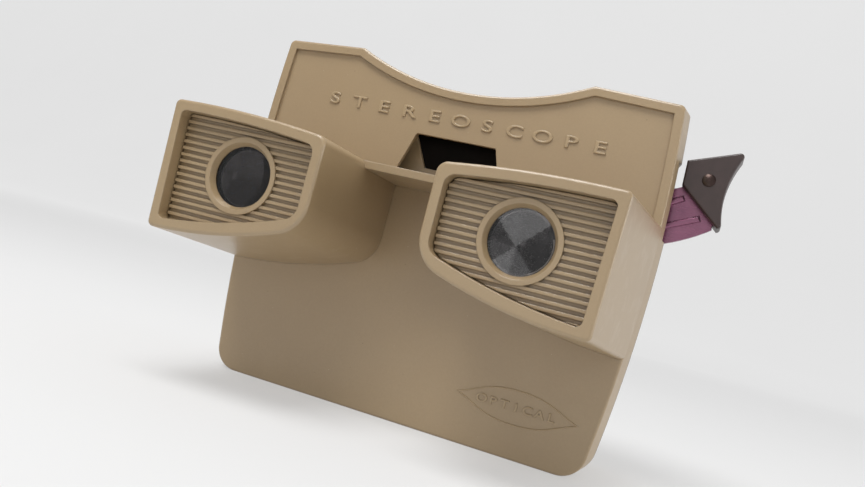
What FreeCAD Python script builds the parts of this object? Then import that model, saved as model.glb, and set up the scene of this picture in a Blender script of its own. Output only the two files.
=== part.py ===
import FreeCAD, Part
import math
import os

import Sketcher

# Reel stereo viewer. Millimetres, +Z up, +X towards the lever, +Y away from the eyes.
# The origin is the middle of the flat base, under the optical centre line.

SHEET = {
    # overall planes along Y
    "rim_face": -58.9,
    "plate_face": -16.0,
    "seam_face": -8.5,
    "rear_face": 16.0,
    # outline of the body seen along Y
    "eye_height": 48.3,
    "half_width": 54.75,
    "side_radius": 400.0,
    "widest_height": 61.6,
    "plate_top": 91.6,
    "top_rise": 1.0,
    "notch_bottom": 85.4,
    "notch_radius": 72.5,
    "corner": 5.5,
    "top_corner": 1.4,
    "flare": 1.0,
    "top_flare": 0.4,
    "rear_taper": 3.2,
    "rear_edge": 1.4,
    "wall": 2.0,
    "mouth_half": 47.0,
    # hoods
    "eye_spacing": 64.0,
    "nose_wall": 12.6,
    "hood_top_nose": 60.15,
    "hood_top_outer": 61.9,
    "base_top_outer": 62.6,
    "hood_low_nose": 39.8,
    "hood_low_outer": 32.9,
    "base_low_nose": 37.9,
    "base_low_outer": 29.9,
    "rim_width_top": 51.15,
    "rim_width_low": 50.0,
    "hood_top_radius": 220.0,
    "hood_corner": 2.4,
    "hood_low_corner": 5.4,
    "hood_edge": 1.3,
    "root_depth": 0.6,
    "edge_break": 0.55,
    "rim_border": 2.25,
    "recess_depth": 5.7,
    "ledge": 1.2,
    # details of the face plate
    "field_border": 2.4,
    "field_depth": 0.8,
    "shelf_top": 60.07,
    "shelf_thick": 1.85,
    "shelf_reach": 20.8,
    "notch_depth": 2.8,
    "lever_notch_low": 59.6,
    "lever_notch_top": 79.0,
    "caption_top": 72.8,
    "caption_low": 60.9,
    "caption_half_top": 10.84,
    "caption_half_low": 14.6,
    # eyepiece panels and lenses
    "rib_pitch": 1.5,
    "rib_count": 17.0,
    "rib_low": 35.6,
    "rib_depth": 0.7,
    "panel_front": -56.0,
    "panel_back": -53.2,
    "ring_radius": 8.65,
    "lens_radius": 7.5,
    "pupil_radius": 6.75,
    "dome_radius": 22.5,
    "fit_gap": 0.05,
    # reel path
    "mask_front": -13.95,
    "mask_thick": 0.8,
    "guide_thick": 1.2,
    "seat_radius": 46.1,
    "seat_wall": 1.2,
    "mask_top": 83.0,
    "picture_width": 12.4,
    "picture_height": 11.0,
    "guide_width": 14.0,
    "guide_height": 13.0,
    "window_width": 28.0,
    "window_height": 24.0,
    "post_spread": 42.0,
    "post_low": 12.0,
    "post_high": 81.0,
    "post_radius": 2.6,
    "screw_radius": 1.2,
    "screw_length": 7.0,
    "countersink": 1.05,
    # lever
    "slot_low": 31.0,
    "slot_back": -3.0,
    "arm_half": 4.2,
    "boss_radius": 5.5,
    "ear_half": 1.8,
    "ear_length": 16.0,
    "stop_radius": 1.5,
    "rivet_side": 62.4,
    "rivet_height": 76.4,
    "rivet_radius": 1.0,
    "anchor_side": 12.0,
    "anchor_height": 33.0,
    "anchor_radius": 1.1,
    "coil_radius": 1.45,
    "wire_radius": 0.25,
    "pivot_side": -17.4,
    "pivot_height": 51.3,
    "arm_front": -6.0,
    "arm_thick": 1.2,
    "pivot_radius": 1.5,
    "grip_front": -9.4,
    "grip_back": -1.4,
    "grip_split": -5.4,
    "pawl_reach": 29.6,
    "pawl_root": 18.0,
    "lever_tilt": 11.0,
}

DOC = FreeCAD.newDocument("StereoViewer")
DIMS = DOC.addObject("Spreadsheet::Sheet", "dims")
for row, (alias, number) in enumerate(SHEET.items(), start=1):
    DIMS.set(f"A{row}", alias)
    DIMS.set(f"B{row}", f"{number:g}")
    DIMS.setAlias(f"B{row}", alias)
DOC.recompute()


class Size:
    """A length that knows its number and the sheet expression it comes from."""

    def __init__(self, value, text=None):
        self.value = float(value)
        self.text = text or f"{self.value:.6g}"

    def join(self, other, sign, result):
        other = size(other)
        return Size(result(self.value, other.value), f"({self.text} {sign} {other.text})")

    def __add__(self, other):
        return self.join(other, "+", lambda a, b: a + b)

    def __sub__(self, other):
        return self.join(other, "-", lambda a, b: a - b)

    def __mul__(self, other):
        return self.join(other, "*", lambda a, b: a * b)

    def __truediv__(self, other):
        return self.join(other, "/", lambda a, b: a / b)

    def __neg__(self):
        return Size(-self.value, f"(0 - {self.text})")

    def root(self):
        return Size(math.sqrt(self.value), f"sqrt({self.text})")


def size(number):
    return number if isinstance(number, Size) else Size(number)


def d(alias):
    """The sheet's dimension of that name."""
    return Size(SHEET[alias], f"dims.{alias}")


# ---------------------------------------------------------------- sketches and features

def new_body(label):
    body = DOC.addObject("PartDesign::Body", label)
    body.Label = label
    return body


def new_sketch(body, plane, offset, name):
    """A sketch on one of the body's own origin planes, moved along that plane's axis."""
    sketch = body.newObject("Sketcher::SketchObject", f"{body.Name}_{name}")
    origin_plane = [o for o in body.Origin.OriginFeatures if o.Role == plane][0]
    sketch.AttachmentSupport = [(origin_plane, "")]
    sketch.MapMode = "FlatFace"
    # the XZ plane's normal is -Y, the other two point along +X and +Z
    shift = -size(offset) if plane == "XZ_Plane" else size(offset)
    sketch.setExpression("AttachmentOffset.Base.z", shift.text)
    return sketch


def pin(sketch, edge, end, across, up):
    """Holds one end of an edge at its distances from the sketch's origin."""
    for kind, length in (("DistanceX", across), ("DistanceY", up)):
        index = sketch.addConstraint(Sketcher.Constraint(kind, -1, 1, edge, end, length.value))
        sketch.setExpression(f"Constraints[{index}]", length.text)


def arc_between(start, end, bend):
    """The arc of radius |bend| from start to end: positive turns left, negative right."""
    if bend < 0:
        start, end = end, start
    radius = abs(bend)
    chord = end - start
    middle = (start + end) * 0.5
    inward = FreeCAD.Vector(-chord.y, chord.x, 0).normalize()
    centre = middle + inward * math.sqrt(max(radius ** 2 - (chord.Length / 2) ** 2, 0.0))
    first = math.atan2(start.y - centre.y, start.x - centre.x)
    last = math.atan2(end.y - centre.y, end.x - centre.x)
    circle = Part.Circle(centre, FreeCAD.Vector(0, 0, 1), radius)
    return Part.ArcOfCircle(circle, first, last if last > first else last + 2 * math.pi)


def draw(sketch, corners):
    """A closed outline. Each corner is (across, up, bend of the edge that leaves it)."""
    corners = [(size(x), size(z), None if bend is None else size(bend)) for x, z, bend in corners]
    points = [FreeCAD.Vector(x.value, z.value, 0) for x, z, _ in corners]
    first_edge = sketch.GeometryCount
    ends = []
    for index, (_, _, bend) in enumerate(corners):
        start = points[index]
        end = points[(index + 1) % len(points)]
        if bend is None:
            sketch.addGeometry(Part.LineSegment(start, end), False)
            ends.append((1, 2))
        else:
            sketch.addGeometry(arc_between(start, end, bend.value), False)
            ends.append((1, 2) if bend.value > 0 else (2, 1))
    for index, (x, z, bend) in enumerate(corners):
        edge = first_edge + index
        following = (index + 1) % len(corners)
        sketch.addConstraint(Sketcher.Constraint(
            "Coincident", edge, ends[index][1], first_edge + following, ends[following][0]))
        pin(sketch, edge, ends[index][0], x, z)
        if bend is not None:
            row = sketch.addConstraint(Sketcher.Constraint("Radius", edge, abs(bend.value)))
            sketch.setExpression(f"Constraints[{row}]", bend.text if bend.value > 0 else (-bend).text)


def rectangle(left, right, low, high):
    return [(left, low, None), (right, low, None), (right, high, None), (left, high, None)]


def draw_circle(sketch, across, up, radius):
    across, up, radius = size(across), size(up), size(radius)
    centre = FreeCAD.Vector(across.value, up.value, 0)
    edge = sketch.addGeometry(Part.Circle(centre, FreeCAD.Vector(0, 0, 1), radius.value), False)
    pin(sketch, edge, 3, across, up)
    row = sketch.addConstraint(Sketcher.Constraint("Radius", edge, radius.value))
    sketch.setExpression(f"Constraints[{row}]", radius.text)


def outline(body, offset, corners, name, plane="XZ_Plane"):
    sketch = new_sketch(body, plane, offset, name)
    draw(sketch, corners)
    return sketch


def circles(body, offset, spots, name):
    """A sketch of circles, each given as (across, up, radius)."""
    sketch = new_sketch(body, "XZ_Plane", offset, name)
    for across, up, radius in spots:
        draw_circle(sketch, across, up, radius)
    return sketch


def loft(body, kind, sections, name):
    """A straight-sided loft through sketches, from the first to the last."""
    feature = body.newObject(f"PartDesign::{kind}Loft", f"{body.Name}_{name}")
    feature.Profile = sections[0]
    feature.Sections = sections[1:]
    feature.Ruled = True
    DOC.recompute()
    return feature


def prism(body, kind, sketch, length, name, towards):
    """A pad or pocket of the sketch, towards the plus or minus end of its plane's axis."""
    feature = body.newObject(f"PartDesign::{kind}", f"{body.Name}_{name}")
    feature.Profile = sketch
    feature.setExpression("Length", size(length).text)
    along_normal = (kind == "Pad")
    upright = abs(sketch.Placement.Rotation.multVec(FreeCAD.Vector(0, 0, 1)).y) > 0.5
    plus_is_normal = not upright
    feature.Reversed = ((towards > 0) == plus_is_normal) != along_normal
    before = 0.0 if body.Shape.isNull() else body.Shape.Volume
    DOC.recompute()
    change = feature.Shape.Volume - before
    if (kind == "Pad" and change <= 0) or (kind == "Pocket" and change >= 0):
        raise RuntimeError(f"{feature.Name} changed nothing")
    return feature


def mirror(body, features, name):
    feature = body.newObject("PartDesign::Mirrored", f"{body.Name}_{name}")
    feature.Originals = features
    feature.MirrorPlane = ([o for o in body.Origin.OriginFeatures if o.Role == "YZ_Plane"][0], [""])
    body.Tip = feature
    DOC.recompute()
    return feature


def spin(body, kind, sketch, name):
    """A revolution or groove of the sketch about its own vertical axis."""
    feature = body.newObject(f"PartDesign::{kind}", f"{body.Name}_{name}")
    feature.Profile = sketch
    feature.ReferenceAxis = (sketch, ["V_Axis"])
    feature.Angle = 360.0
    DOC.recompute()
    return feature


def round_edges(body, radius, chosen, name, kind="Fillet"):
    """Rounds the edges of the body's last feature that the test picks."""
    base = body.Tip
    edges = [f"Edge{i}" for i, edge in enumerate(base.Shape.Edges, start=1) if chosen(edge)]
    if not edges:
        raise RuntimeError(f"{body.Name} {name}: no edge picked")
    feature = body.newObject(f"PartDesign::{kind}", f"{body.Name}_{name}")
    feature.Base = (base, edges)
    if kind == "Fillet":
        feature.Radius = radius
    else:
        feature.Size = radius
    DOC.recompute()
    return feature


def lies_at(edge, offset, slack=1e-3):
    """True where the whole edge lies in the plane y = offset."""
    box = edge.BoundBox
    return abs(box.YMin - offset) < slack and abs(box.YMax - offset) < slack


# ---------------------------------------------------------------- outlines of the body

def side(height, inset):
    """Half-width of the body at a height, on its long side arc, less an inset."""
    rise = size(height) - d("widest_height")
    fall = d("side_radius") - (d("side_radius") * d("side_radius") - rise * rise).root()
    return d("half_width") - fall - inset


def both_sides(right):
    """Closes a right-hand run of corners, from the base to the top, with its mirror image."""
    left = []
    for index in range(len(right) - 1, -1, -1):
        x, z, _ = right[index]
        left.append((-size(x), z, right[index - 1][2] if index else None))
    return right + left


def lower_run(inset, floor, corner):
    """The base corner and the long side above it, starting on the base."""
    low = floor + corner
    foot = side(floor, inset) - corner
    run_out = side(low, inset) - foot
    return [
        (foot, floor, (run_out * run_out + corner * corner) / (corner * 2.0)),
        (side(low, inset), low, d("side_radius")),
    ]


def body_outline(inset, floor, mouth=None, lift=None, corner=None):
    """The body's outline moved in by an inset, with the notch for the reel's edge at its top.

    floor is the height of the lowest edge, and lift is how far the top moves up. mouth, when
    given, is the half-width of an opening that runs up through the top, in place of the notch.
    """
    inset = size(inset)
    floor = size(floor)
    lift = -inset if lift is None else size(lift)
    high = d("plate_top") + lift
    shoulder = high - d("top_corner")
    run = lower_run(inset, floor, d("corner") - inset if corner is None else corner) + [
        (side(shoulder, inset), shoulder, d("top_corner")),
        (side(high, inset) - d("top_corner"), high, None),
    ]
    if mouth is not None:
        run += [(mouth, high, None), (mouth, d("plate_top") + 4.0, None)]
        return both_sides(run)
    peak = high + d("top_rise")
    deep = d("notch_radius") - lift
    drop = d("notch_bottom") + d("notch_radius") - peak
    run.append(((deep * deep - drop * drop).root(), peak, -deep))
    return both_sides(run)


def hood_outline(inset, top_nose, top_outer, low_nose, low_outer, wide_top, wide_low, curved):
    """One hood's section: bowed top and bottom, upright nose wall, rounded corners."""
    nose = d("nose_wall") + inset
    bend = d("hood_corner")
    small = d("hood_edge")
    outer_top = wide_top - inset
    outer_low = wide_low - inset
    # the big lower corner beside the nose, smaller in the inner outlines: it turns from upright
    # to a fall of 0.31789 in 0.94812, and the bowed lower edge leaves it in line
    reach = d("hood_low_corner") - inset * 1.33
    start, foot = nose + reach, low_nose + inset - reach * 0.32
    across, up = outer_low - small - start, low_outer + inset - foot
    bow = (across * across + up * up) / ((across * 0.31789 + up * 0.94812) * 2.0)
    return [
        (start, foot, bow),
        (outer_low - small, low_outer + inset, small),
        (outer_low + small * 0.04, low_outer + inset + small, d("side_radius") if curved else None),
        (outer_top, top_outer - inset - small, small),
        (outer_top - small, top_outer - inset, d("hood_top_radius")),
        (nose + bend, top_nose - inset + bend * 0.1, bend),
        (nose, top_nose - inset - bend, None),
        (nose, low_nose + inset + reach * 1.07, reach * 1.46605),
    ]


def hood_section(offset, inset):
    """The hood's outline at a distance along Y, between its rim and the face plate."""
    root = d("plate_face") + d("root_depth")
    share = (size(offset) - d("rim_face")) / (root - d("rim_face"))
    proud = -d("flare") * d("root_depth") / (d("seam_face") - d("plate_face"))

    def between(rim, root):
        return rim + (root - rim) * share

    top = d("base_top_outer")
    low = d("base_low_outer")
    return hood_outline(
        size(inset),
        d("hood_top_nose"),
        between(d("hood_top_outer"), top),
        between(d("hood_low_nose"), d("base_low_nose")),
        between(d("hood_low_outer"), low),
        between(d("rim_width_top"), side(top - d("hood_edge"), proud)),
        between(d("rim_width_low"), side(low + d("hood_edge"), proud)),
        share.value > 0.999,
    )


# ---------------------------------------------------------------- the two shells

def eyepiece_housing():
    """Front shell: face plate, skirt up to the seam and the two hoods around the eyes."""
    body = new_body("eyepiece_housing")
    face, seam, rim = d("plate_face"), d("seam_face"), d("rim_face")
    root = face + d("root_depth")
    soft = d("edge_break")
    loft(body, "Additive", [
        outline(body, face, body_outline(soft, soft), "face_outline"),
        outline(body, face + soft * 0.3, body_outline(soft * 0.3, soft * 0.3), "face_round"),
        outline(body, face + soft, body_outline(0.0, 0.0), "face_side"),
        outline(body, seam, body_outline(-d("flare"), 0.0, lift=d("top_flare")), "seam_outline"),
    ], "skirt")
    hood = loft(body, "Additive", [
        outline(body, rim, hood_section(rim, 0.0), "rim_outline"),
        outline(body, root, hood_section(root, 0.0), "root_outline"),
    ], "hood")
    mirror(body, [hood], "hood_pair")
    round_edges(body, 0.7, lambda e: lies_at(e, rim.value), "rim_round")
    reach = d("nose_wall") + 1.0
    shelf_low = d("shelf_top") - d("shelf_thick")
    shelf = outline(body, face, [(-reach, shelf_low, None), (reach, shelf_low, None),
                                 (reach, d("shelf_top"), None), (-reach, d("shelf_top"), None)],
                    "shelf_outline")
    prism(body, "Pad", shelf, d("shelf_reach"), "shelf", -1)

    # eyepiece pocket in the rim, and the light tunnel behind its ledge
    border = d("rim_border")
    floor = rim + d("recess_depth")
    pocket = outline(body, floor, hood_section(rim, border), "pocket_outline")
    cut = prism(body, "Pocket", pocket, d("recess_depth") + 1.0, "pocket", -1)
    through = face + d("wall") + 1.0
    tunnel = loft(body, "Subtractive", [
        outline(body, floor - 0.5, hood_section(floor, border + d("ledge")), "tunnel_near"),
        outline(body, through, hood_section(root, d("wall") + 0.2), "tunnel_far"),
    ], "tunnel")
    mirror(body, [cut, tunnel], "opening_pair")

    # space for the reel behind the face plate, open at the top
    back = outline(body, seam, body_outline(d("wall") - d("flare") * 0.5, d("wall"),
                                            mouth=d("mouth_half")), "reel_space_outline")
    prism(body, "Pocket", back, seam - face - d("wall"), "reel_space", -1)

    # sunk field of the upper face, the caption window and the notch for the lever
    edge = d("field_border")
    brow = d("base_top_outer") + 0.15
    foot = d("hood_top_nose") + 0.15
    nose = d("nose_wall")
    peak = d("plate_top") + d("top_rise") - edge
    deep = d("notch_radius") + edge
    drop = d("notch_bottom") + d("notch_radius") - peak
    field = both_sides([
        (nose - 0.6, foot - 0.23, None),
        (nose + d("hood_corner"), foot + 0.25, -d("hood_top_radius")),
        (side(brow, edge), brow, d("side_radius")),
        (side(d("plate_top") - edge, edge), d("plate_top") - edge, None),
        ((deep * deep - drop * drop).root(), peak, -deep),
    ])
    prism(body, "Pocket", outline(body, face, field, "field_outline"), d("field_depth"), "field", 1)
    window = both_sides([
        (d("caption_half_low"), d("caption_low"), None),
        (d("caption_half_top") + 0.26, d("caption_top") - 0.8, 0.8),
        (d("caption_half_top") - 0.74, d("caption_top"), None),
    ])
    prism(body, "Pocket", outline(body, face, window, "window_outline"), 4.0, "window", 1)
    notch = outline(body, 50.0, [
        (seam - d("notch_depth"), d("lever_notch_low"), None), (seam + 1.0, d("lever_notch_low"), None),
        (seam + 1.0, d("lever_notch_top"), None), (seam - d("notch_depth"), d("lever_notch_top"), None)],
        "lever_notch_outline", plane="YZ_Plane")
    prism(body, "Pocket", notch, 10.0, "lever_notch", 1)
    return body


def window_housing():
    """Rear shell: closed back with the two light windows, screw posts and the lever's slot."""
    body = new_body("window_housing")
    seam, rear, wall = d("seam_face"), d("rear_face"), d("wall")
    taper, soft, eye = d("rear_taper"), d("rear_edge"), d("eye_height")
    loft(body, "Additive", [
        outline(body, seam, body_outline(-d("flare"), 0.0, lift=d("top_flare")), "seam_outline"),
        outline(body, rear - soft, body_outline(taper, 0.0, lift=-taper * 0.5), "side_outline"),
        outline(body, rear - soft * 0.3, body_outline(taper + soft * 0.3, soft * 0.3,
                lift=-taper * 0.5 - soft * 0.3), "rear_round"),
        outline(body, rear, body_outline(taper + soft, soft, lift=-taper * 0.5 - soft),
                "rear_outline"),
    ], "shell")
    inner = rear - wall
    loft(body, "Subtractive", [
        outline(body, seam, body_outline(wall - d("flare"), wall, lift=-wall), "cavity_mouth"),
        outline(body, inner, body_outline(wall + taper, wall, lift=-wall - taper * 0.5,
                corner=d("corner") - wall), "cavity_floor"),
    ], "cavity")

    # light windows, sunk a little into the back, and a rib around each diffuser
    half_wide, half_high = d("window_width") / 2.0, d("window_height") / 2.0
    for name, side_of in (("right", 0.5), ("left", -0.5)):
        middle = d("eye_spacing") * side_of
        rib = outline(body, inner + 0.3, rectangle(middle - half_wide - 3.4, middle + half_wide + 3.4,
                      eye - half_high - 3.4, eye + half_high + 3.4), f"{name}_rib_outline")
        draw(rib, rectangle(middle - half_wide - 1.65, middle + half_wide + 1.65,
                            eye - half_high - 1.65, eye + half_high + 1.65))
        prism(body, "Pad", rib, 1.4, f"{name}_rib", -1)
        step = outline(body, rear, rectangle(middle - half_wide - 1.6, middle + half_wide + 1.6,
                       eye - half_high - 1.6, eye + half_high + 1.6), f"{name}_step_outline")
        prism(body, "Pocket", step, 0.6, f"{name}_step", -1)
        light = outline(body, rear, rectangle(middle - half_wide, middle + half_wide,
                        eye - half_high, eye + half_high), f"{name}_window_outline")
        prism(body, "Pocket", light, wall + 1.0, f"{name}_window", -1)

    # posts that carry the reel guide
    guide_back = seam + d("guide_thick")
    posts = circles(body, inner + 0.3, [(x, z, d("post_radius")) for x, z in post_spots()], "posts")
    prism(body, "Pad", posts, inner + 0.3 - guide_back - d("fit_gap"), "post_pads", -1)
    pilots = circles(body, guide_back, [(x, z, d("screw_radius") + d("fit_gap"))
                                        for x, z in post_spots()], "pilots")
    prism(body, "Pocket", pilots, d("screw_length"), "pilot_holes", 1)

    slot = outline(body, 48.0, rectangle(seam - 1.0, d("slot_back"), d("slot_low"),
                   d("lever_notch_top")), "lever_slot_outline", plane="YZ_Plane")
    prism(body, "Pocket", slot, 12.0, "lever_slot", 1)
    return body


def post_spots():
    """Places of the four guide screws and their posts."""
    wide = d("post_spread")
    return [(wide * sign, d(height)) for height in ("post_low", "post_high") for sign in (1.0, -1.0)]


# ---------------------------------------------------------------- turned parts

def place(item, across, up):
    item.setExpression("Placement.Base.x", size(across).text)
    item.setExpression("Placement.Base.z", size(up).text)


def turned(label, across, up, profile):
    """A body of revolution about an axis along Y. The profile is (radius, y, bend)."""
    body = new_body(label)
    spin(body, "Revolution", outline(body, 0.0, profile, "profile", plane="XY_Plane"), "turn")
    place(body, across, up)
    return body


def tube(label, across, up, inner, outer, front, back):
    return turned(label, across, up, rectangle(inner, outer, front, back))


# ---------------------------------------------------------------- eyepieces

def eyepiece_panel():
    """Ribbed panel in the right hood's rim, with the ring that holds the lens."""
    body = new_body("right_eyepiece_panel")
    rim, front, back = d("rim_face"), d("panel_front"), d("panel_back")
    middle, eye = d("eye_spacing") / 2.0, d("eye_height")
    border = d("rim_border") + 0.15
    prism(body, "Pad", outline(body, back, hood_section(rim, border), "sheet_outline"),
          back - front, "sheet", -1)
    pitch = d("rib_pitch")
    low = d("rib_low")
    groove_outline = outline(body, front, rectangle(d("nose_wall"), d("half_width"), low,
                             low + pitch / 2.0), "groove_outline")
    groove = prism(body, "Pocket", groove_outline, d("rib_depth"), "groove", 1)
    rows = body.newObject("PartDesign::LinearPattern", f"{body.Name}_grooves")
    rows.Originals = [groove]
    rows.Direction = (groove_outline, ["V_Axis"])
    rows.setExpression("Length", (pitch * (d("rib_count") - 1.0)).text)
    rows.setExpression("Occurrences", d("rib_count").text)
    body.Tip = rows
    DOC.recompute()

    ring = circles(body, back + 1.7, [(middle, eye, d("ring_radius"))], "ring_outline")
    prism(body, "Pad", ring, back + 1.7 - front + 0.3, "ring", -1)
    seat_front = front + 1.2
    loft(body, "Subtractive", [
        circles(body, front - 0.3, [(middle, eye, d("lens_radius"))], "bevel_front"),
        circles(body, seat_front, [(middle, eye, d("pupil_radius"))], "bevel_back"),
    ], "bevel")
    seat = circles(body, back + 1.7, [(middle, eye, d("lens_radius") + d("fit_gap"))], "seat_outline")
    prism(body, "Pocket", seat, back + 1.7 - seat_front, "seat", -1)
    return body


def mirrored(source, label):
    """The left-hand twin of a right-hand part."""
    twin = DOC.addObject("Part::Mirroring", label)
    twin.Label = label
    twin.Source = source
    twin.Normal = FreeCAD.Vector(1, 0, 0)
    DOC.recompute()
    return twin


def lens(label, across):
    """Plano-convex lens, flat towards the eye, domed towards the picture, with a flange."""
    edge = d("panel_front") + 1.25
    base = d("pupil_radius") - 0.55
    bulge = d("dome_radius") - (d("dome_radius") * d("dome_radius") - base * base).root()
    return turned(label, across, d("eye_height"), [
        (0.0, edge, None),
        (d("lens_radius"), edge, None),
        (d("lens_radius"), edge + 1.6, None),
        (base, edge + 1.6, d("dome_radius")),
        (0.0, edge + 1.6 + bulge, None),
    ])


# ---------------------------------------------------------------- reel path

def apertures(body, offset, thick, wide, high, name):
    for side_name, side_of in (("right", 0.5), ("left", -0.5)):
        middle = d("eye_spacing") * side_of
        opening = outline(body, offset, rectangle(
            middle - d(wide) / 2.0, middle + d(wide) / 2.0,
            d("eye_height") - d(high) / 2.0, d("eye_height") + d(high) / 2.0),
            f"{side_name}_{name}_outline")
        prism(body, "Pocket", opening, thick, f"{side_name}_{name}", 1)


def picture_mask():
    """Black sheet on the inside of the face plate, with the two picture openings."""
    body = new_body("picture_mask")
    front = d("mask_front")
    inset = d("wall")
    top = d("mask_top")
    sheet = both_sides(lower_run(inset, d("wall") + 0.4, d("corner") - inset)
                       + [(side(top, inset), top, None)])
    prism(body, "Pad", outline(body, front, sheet, "sheet_outline"), d("mask_thick"), "sheet", 1)
    apertures(body, front, 3.0, "picture_width", "picture_height", "picture")
    window = both_sides([(d("caption_half_low") + 1.0, d("caption_low") - 0.6, None),
                         (d("caption_half_top") + 1.0, d("caption_top") + 0.6, None)])
    prism(body, "Pocket", outline(body, front, window, "caption_outline"), 3.0, "caption", 1)
    return body


def reel_guide():
    """Plate behind the reel, with its light, caption and pawl openings."""
    body = new_body("reel_guide")
    front, thick = d("seam_face"), d("guide_thick")
    inset = d("wall") - d("flare") + 0.5
    prism(body, "Pad", outline(body, front, body_outline(inset, d("wall") + 0.5,
          lift=-d("wall") - 0.4), "plate_outline"), thick, "plate", 1)
    behind = front + thick
    stop_across, stop_up = on_arm(46.0, d("arm_half") + d("stop_radius") + 0.05)
    prism(body, "Pad", circles(body, behind - 0.3, [(stop_across, stop_up, d("stop_radius"))],
                               "stop_outline"), 3.0, "rest_stop", 1)
    apertures(body, front, 3.0, "guide_width", "guide_height", "light")
    for name, corners in (
        ("caption", both_sides([(9.0, 65.2, None), (14.3, 75.5, None)])),
        ("pawl_slot", rectangle(9.7, 13.0, 44.2, 58.4)),
    ):
        prism(body, "Pocket", outline(body, front, corners, f"{name}_outline"), 3.0, name, 1)
    clearance = d("screw_radius") + 0.3
    bores = [(d("pivot_side"), d("pivot_height"), d("pivot_radius") + d("fit_gap")),
             (d("anchor_side"), d("anchor_height"), d("anchor_radius") + d("fit_gap"))]
    bores += [(x, z, clearance) for x, z in post_spots()]
    prism(body, "Pocket", circles(body, front, bores, "bores"), 3.0, "holes", 1)
    spots = [(x.value, z.value) for x, z in post_spots()]

    def screw_hole(edge):
        middle = edge.BoundBox.Center
        near = any(math.hypot(middle.x - x, middle.z - z) < 0.1 for x, z in spots)
        return near and lies_at(edge, front.value) and edge.BoundBox.XLength < clearance.value * 2.2

    round_edges(body, SHEET["countersink"] - 0.1, screw_hole, "countersinks", kind="Chamfer")
    return body


def reel_seat():
    """Curved rib on the guide's right side that the lower edge of the reel rests in."""
    body = new_body("right_reel_seat")
    front, eye = d("seam_face"), d("eye_height")
    inner, outer = d("seat_radius"), d("seat_radius") + d("seat_wall")
    turn = math.radians(-73.0)
    sector = [
        (outer * math.cos(turn), eye + outer * math.sin(turn), outer),
        (outer, eye, None),
        (inner, eye, -inner),
        (inner * math.cos(turn), eye + inner * math.sin(turn), None),
    ]
    reach = front - (d("mask_front") + d("mask_thick")) - 0.15
    prism(body, "Pad", outline(body, front, sector, "seat_outline"), reach, "rib", -1)
    return body


def light_shield():
    """Thin black sheet behind the caption window."""
    body = new_body("light_shield")
    front = d("seam_face") + d("guide_thick") + d("fit_gap")
    prism(body, "Pad", outline(body, front, rectangle(-17.0, 17.0, 60.0, 79.0), "sheet_outline"),
          0.4, "sheet", 1)
    return body


def diffuser(label, sign):
    """White translucent sheet behind one light window."""
    body = new_body(label)
    middle = d("eye_spacing") * (0.5 * sign)
    half_wide, half_high = d("window_width") / 2.0 + 1.5, d("window_height") / 2.0 + 1.5
    front = d("rear_face") - d("wall") - d("fit_gap") - 1.2
    prism(body, "Pad", outline(body, front, rectangle(
        middle - half_wide, middle + half_wide, d("eye_height") - half_high,
        d("eye_height") + half_high), "sheet_outline"), 1.2, "sheet", 1)
    return body


def guide_screws():
    """Four countersunk screws that hold the reel guide to its posts."""
    screws = []
    head, shank = d("screw_radius") + d("countersink"), d("screw_radius")
    face = d("seam_face") + 0.03
    for index, (across, up) in enumerate(post_spots(), start=1):
        screw = turned(f"guide_screw_{index}", across, up, [
            (0.0, face, None), (head, face, None), (shank, face + d("countersink"), None),
            (shank, face + d("screw_length") - 1.0, None), (0.0, face + d("screw_length"), None)])
        for turn, (wide, high) in enumerate(((2.4, 0.5), (0.5, 2.4)), start=1):
            cross = outline(screw, face, rectangle(-wide / 2, wide / 2, -high / 2, high / 2),
                            f"cross_{turn}")
            prism(screw, "Pocket", cross, 0.7, f"drive_{turn}", 1)
        screws.append(screw)
    return group("guide_screws", screws)


def group(label, members):
    """Identical pieces kept together under one name."""
    bundle = DOC.addObject("Part::Compound", label)
    bundle.Label = label
    bundle.Links = members
    DOC.recompute()
    return bundle


# ---------------------------------------------------------------- lever

def on_arm(along, across):
    """A point in the arm's own directions, measured from the pivot along the tilted arm."""
    tilt = math.radians(SHEET["lever_tilt"])
    along, across = size(along), size(across)
    x = d("pivot_side") + along * math.cos(tilt) - across * math.sin(tilt)
    z = d("pivot_height") + along * math.sin(tilt) + across * math.cos(tilt)
    return x, z


def on_arm_box(near, far, half):
    return [(*on_arm(near, -half), None), (*on_arm(far, -half), None),
            (*on_arm(far, half), None), (*on_arm(near, half), None)]


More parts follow.
